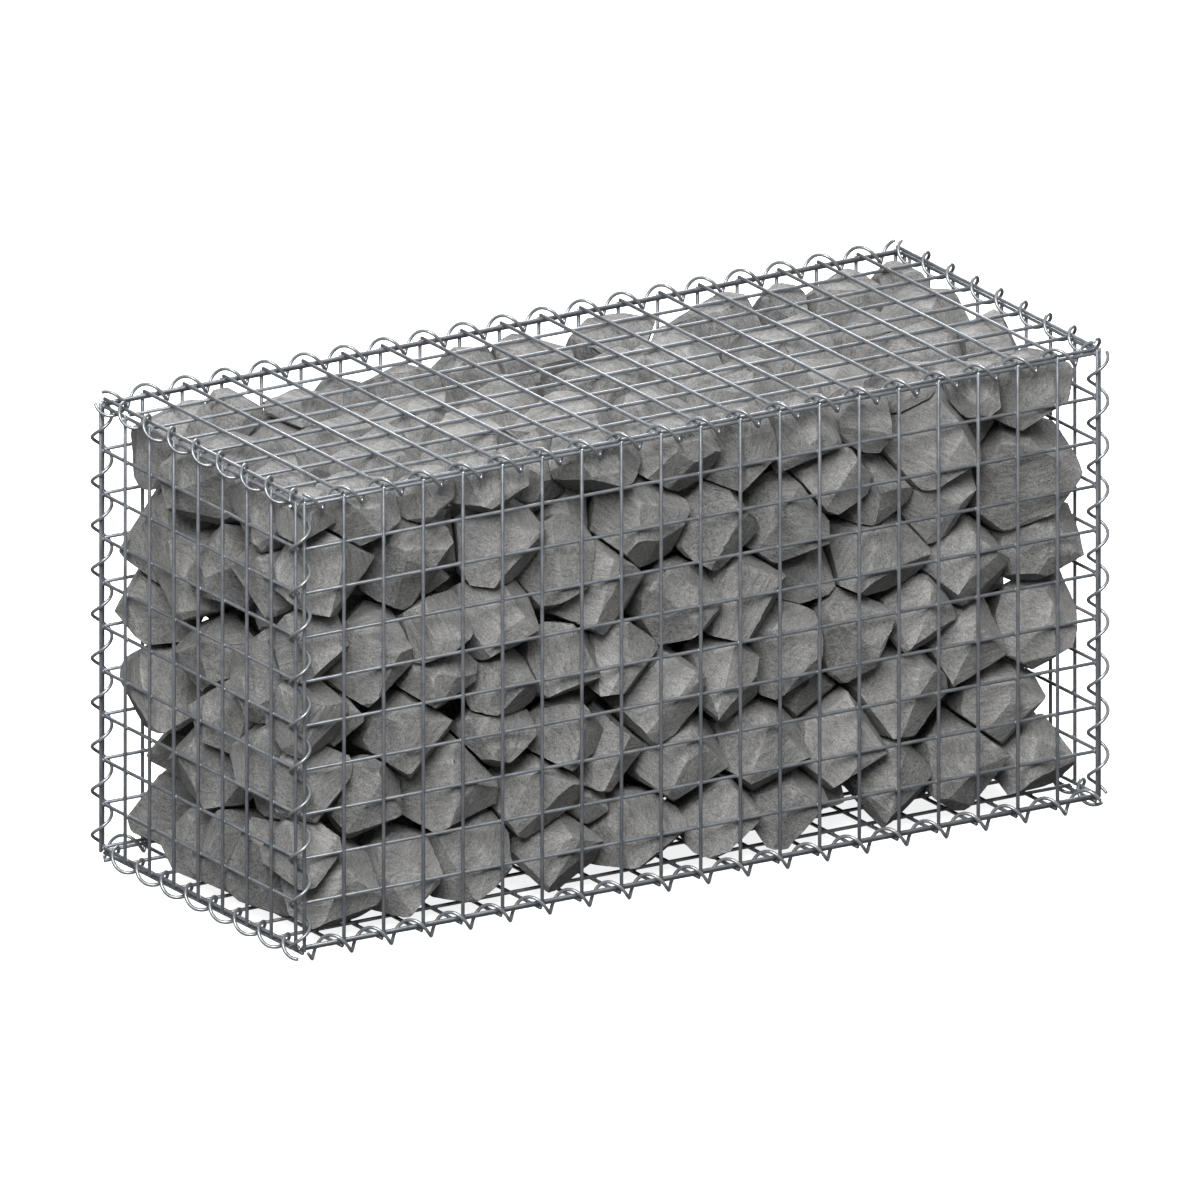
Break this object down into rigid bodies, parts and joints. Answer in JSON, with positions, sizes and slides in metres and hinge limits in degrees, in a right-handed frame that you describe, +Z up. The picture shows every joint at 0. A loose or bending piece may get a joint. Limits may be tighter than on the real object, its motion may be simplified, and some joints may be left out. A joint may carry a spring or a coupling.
{
  "type": "gabion basket filled with stone",
  "caption": "Box-shaped welded wire basket, laced shut along every edge with wire spirals and filled with angular broken stone, used as a free-standing wall block.",
  "frame": {"origin": "on the ground under the middle of the basket", "axes": "+X along the length, to the right seen from the front, -Y to the front, +Z up"},
  "size_m": [1.0318, 0.4318, 0.5318],
  "materials": {
    "panel_wire": "dull zinc-coated wire",
    "spiral_wire": "bright zinc-coated wire",
    "stone": "rough broken faces"
  },
  "bodies": {
    "root": {"base_panel": "panel_wire", "front_panel": "panel_wire", "back_panel": "panel_wire", "left_end_panel": "panel_wire", "right_end_panel": "panel_wire", "lid_panel": "panel_wire", "base_front_spiral": "spiral_wire", "base_back_spiral": "spiral_wire", "base_left_spiral": "spiral_wire", "base_right_spiral": "spiral_wire", "front_left_spiral": "spiral_wire", "front_right_spiral": "spiral_wire", "back_left_spiral": "spiral_wire", "back_right_spiral": "spiral_wire", "lid_front_spiral": "spiral_wire", "lid_back_spiral": "spiral_wire", "lid_left_spiral": "spiral_wire", "lid_right_spiral": "spiral_wire", "stone_course_1": "stone", "stone_course_2": "stone", "stone_course_3": "stone", "stone_course_4": "stone", "stone_course_5": "stone"}
  },
  "joints": []
}
